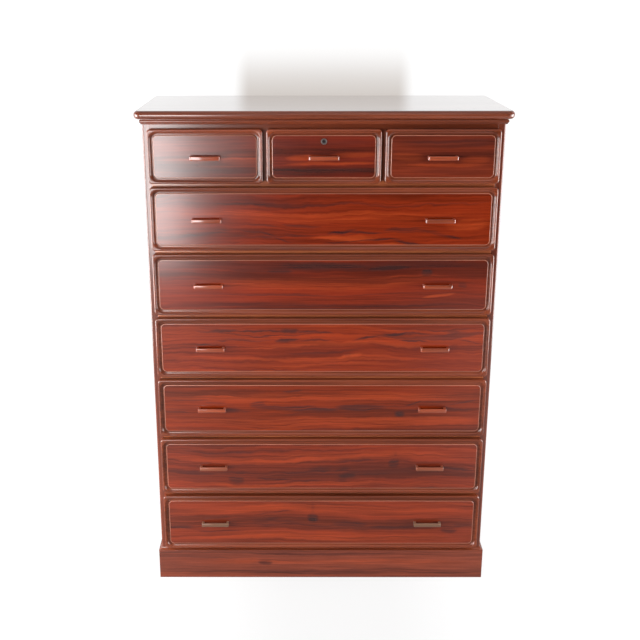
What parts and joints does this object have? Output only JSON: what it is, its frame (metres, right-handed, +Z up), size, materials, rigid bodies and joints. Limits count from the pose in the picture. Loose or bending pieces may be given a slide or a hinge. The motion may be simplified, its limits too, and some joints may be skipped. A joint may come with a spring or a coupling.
{
  "type": "high chest of drawers",
  "caption": "Tall polished chest of drawers: small drawers over wide ones, moulded lipped fronts, bar pulls, a cylinder lock, an overhanging top and a plinth.",
  "frame": {"origin": "on the floor under the middle of the bounding box, bar pulls included", "axes": "+Z up, +Y towards the back, +X to the right seen from the front"},
  "size_m": [1, 0.4354, 1.399],
  "materials": {
    "rosewood": "polished lacquer over red-brown figured veneer",
    "pull_wood": "polished lacquer over red-brown hardwood",
    "inner_wood": "plain pale wood, hardly polished",
    "lock_metal": "polished nickel"
  },
  "bodies": {
    "carcass": {"top_board": "rosewood", "cornice_moulding": "rosewood", "side_left": "rosewood", "side_right": "rosewood", "back_panel": "inner_wood", "bottom_board": "rosewood", "divider_board": "rosewood", "top_rail": "rosewood", "top_back_rail": "inner_wood", "drawer_rails": "rosewood", "drawer_runners": "inner_wood", "drawer_kickers": "inner_wood", "partition_left": "rosewood", "partition_right": "rosewood", "plinth_front": "rosewood", "plinth_left": "rosewood", "plinth_right": "rosewood", "plinth_back": "inner_wood", "plinth_blocks": "inner_wood", "base_moulding": "rosewood"},
    "drawer_top_left": {"drawer_top_left_front": "rosewood", "drawer_top_left_box": "inner_wood", "drawer_top_left_bottom": "inner_wood", "drawer_top_left_pulls": "pull_wood"},
    "drawer_top_centre": {"drawer_top_centre_front": "rosewood", "drawer_top_centre_box": "inner_wood", "drawer_top_centre_bottom": "inner_wood", "drawer_top_centre_pulls": "pull_wood", "lock_case": "lock_metal"},
    "drawer_top_right": {"drawer_top_right_front": "rosewood", "drawer_top_right_box": "inner_wood", "drawer_top_right_bottom": "inner_wood", "drawer_top_right_pulls": "pull_wood"},
    "drawer_wide_1": {"drawer_wide_1_front": "rosewood", "drawer_wide_1_box": "inner_wood", "drawer_wide_1_bottom": "inner_wood", "drawer_wide_1_pulls": "pull_wood"},
    "drawer_wide_2": {"drawer_wide_2_front": "rosewood", "drawer_wide_2_box": "inner_wood", "drawer_wide_2_bottom": "inner_wood", "drawer_wide_2_pulls": "pull_wood"},
    "drawer_wide_3": {"drawer_wide_3_front": "rosewood", "drawer_wide_3_box": "inner_wood", "drawer_wide_3_bottom": "inner_wood", "drawer_wide_3_pulls": "pull_wood"},
    "drawer_wide_4": {"drawer_wide_4_front": "rosewood", "drawer_wide_4_box": "inner_wood", "drawer_wide_4_bottom": "inner_wood", "drawer_wide_4_pulls": "pull_wood"},
    "drawer_wide_5": {"drawer_wide_5_front": "rosewood", "drawer_wide_5_box": "inner_wood", "drawer_wide_5_bottom": "inner_wood", "drawer_wide_5_pulls": "pull_wood"},
    "drawer_wide_6": {"drawer_wide_6_front": "rosewood", "drawer_wide_6_box": "inner_wood", "drawer_wide_6_bottom": "inner_wood", "drawer_wide_6_pulls": "pull_wood"},
    "lock_barrel": {"lock_barrel": "lock_metal"},
    "lock_bolt": {"lock_bolt": "lock_metal"}
  },
  "joints": [
    {"name": "drawer_top_left_slide", "type": "slide", "parent": "carcass", "child": "drawer_top_left", "axis": [0, -1, 0], "range_m": [0, 0.28]},
    {"name": "drawer_top_centre_slide", "type": "slide", "parent": "carcass", "child": "drawer_top_centre", "axis": [0, -1, 0], "range_m": [0, 0.28]},
    {"name": "drawer_top_right_slide", "type": "slide", "parent": "carcass", "child": "drawer_top_right", "axis": [0, -1, 0], "range_m": [0, 0.28]},
    {"name": "drawer_wide_1_slide", "type": "slide", "parent": "carcass", "child": "drawer_wide_1", "axis": [0, -1, 0], "range_m": [0, 0.28]},
    {"name": "drawer_wide_2_slide", "type": "slide", "parent": "carcass", "child": "drawer_wide_2", "axis": [0, -1, 0], "range_m": [0, 0.28]},
    {"name": "drawer_wide_3_slide", "type": "slide", "parent": "carcass", "child": "drawer_wide_3", "axis": [0, -1, 0], "range_m": [0, 0.28]},
    {"name": "drawer_wide_4_slide", "type": "slide", "parent": "carcass", "child": "drawer_wide_4", "axis": [0, -1, 0], "range_m": [0, 0.28]},
    {"name": "drawer_wide_5_slide", "type": "slide", "parent": "carcass", "child": "drawer_wide_5", "axis": [0, -1, 0], "range_m": [0, 0.28]},
    {"name": "drawer_wide_6_slide", "type": "slide", "parent": "carcass", "child": "drawer_wide_6", "axis": [0, -1, 0], "range_m": [0, 0.28]},
    {"name": "lock_turn", "type": "hinge", "parent": "drawer_top_centre", "child": "lock_barrel", "pos_m": [0, -0.20175, 1.3203], "axis": [0, -1, 0], "range_deg": [0, 90]},
    {"name": "lock_bolt_slide", "type": "slide", "parent": "drawer_top_centre", "child": "lock_bolt", "axis": [0, 0, 1], "range_m": [0, 0.00707]}
  ],
  "couplings": [
    {"joint": "lock_bolt_slide", "follows": "lock_turn", "m_per_rad": 0.0045016}
  ]
}
